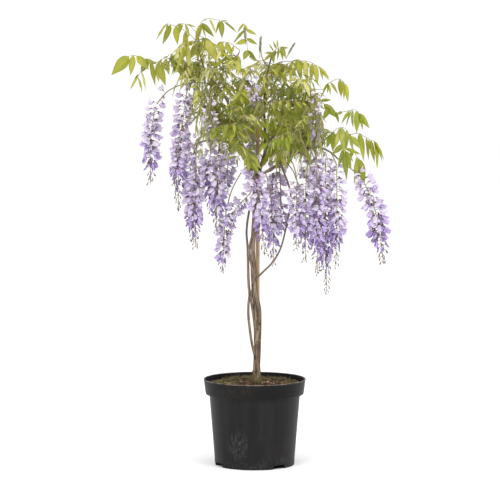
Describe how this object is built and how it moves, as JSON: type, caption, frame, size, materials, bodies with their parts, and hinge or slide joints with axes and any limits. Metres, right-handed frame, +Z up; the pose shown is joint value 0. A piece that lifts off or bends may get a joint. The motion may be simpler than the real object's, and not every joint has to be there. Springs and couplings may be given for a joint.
{
  "type": "potted wisteria",
  "caption": "Weeping wisteria on twisted stems tied up a cane, with long hanging flower racemes and feathered leaves, in a round nursery pot filled with soil.",
  "frame": {"origin": "centre of the pot's flat base, on the surface the pot stands on", "axes": "+Z up along the pot's axis, +X to the right as seen from the front, the front towards -Y"},
  "size_m": [0.7483, 0.4598, 1.218],
  "materials": {
    "pot": "matte black moulded plastic with a worn, dusty rim",
    "soil": "rough dark bark-based potting mix with patches of moss",
    "cane": "smooth dry light brown cane",
    "bark": "rough grey-brown twisting bark",
    "flower": "soft thin petals, pale lilac standards over violet keels",
    "leaf": "thin satin yellow-green leaflets with fine veins"
  },
  "bodies": {
    "root": {"pot": "pot", "soil": "soil", "cane": "cane", "woody_stems": "bark", "raceme_01": "flower", "raceme_02": "flower", "raceme_03": "flower", "raceme_04": "flower", "raceme_05": "flower", "raceme_06": "flower", "raceme_07": "flower", "raceme_08": "flower", "raceme_09": "flower", "raceme_10": "flower", "raceme_11": "flower", "raceme_12": "flower", "raceme_13": "flower", "raceme_14": "flower", "raceme_15": "flower", "raceme_16": "flower", "raceme_17": "flower", "raceme_18": "flower", "raceme_19": "flower", "raceme_20": "flower", "raceme_21": "flower", "raceme_22": "flower", "raceme_23": "flower", "raceme_24": "flower", "raceme_25": "flower", "raceme_26": "flower", "raceme_27": "flower", "leafy_shoot_01": "leaf", "leafy_shoot_02": "leaf", "leafy_shoot_03": "leaf", "leafy_shoot_04": "leaf", "leafy_shoot_05": "leaf", "leafy_shoot_06": "leaf", "leafy_shoot_07": "leaf", "leafy_shoot_08": "leaf", "leafy_shoot_09": "leaf", "leafy_shoot_10": "leaf", "leafy_shoot_11": "leaf", "leafy_shoot_12": "leaf", "leafy_shoot_13": "leaf", "leafy_shoot_14": "leaf", "leafy_shoot_15": "leaf", "leafy_shoot_16": "leaf", "leafy_shoot_17": "leaf", "leafy_shoot_18": "leaf", "leafy_shoot_19": "leaf", "leafy_shoot_20": "leaf", "leafy_shoot_21": "leaf", "leafy_shoot_22": "leaf", "leafy_shoot_23": "leaf", "leafy_shoot_24": "leaf", "leafy_shoot_25": "leaf", "leafy_shoot_26": "leaf", "leafy_shoot_27": "leaf", "leafy_shoot_28": "leaf", "leafy_shoot_29": "leaf"}
  },
  "joints": []
}
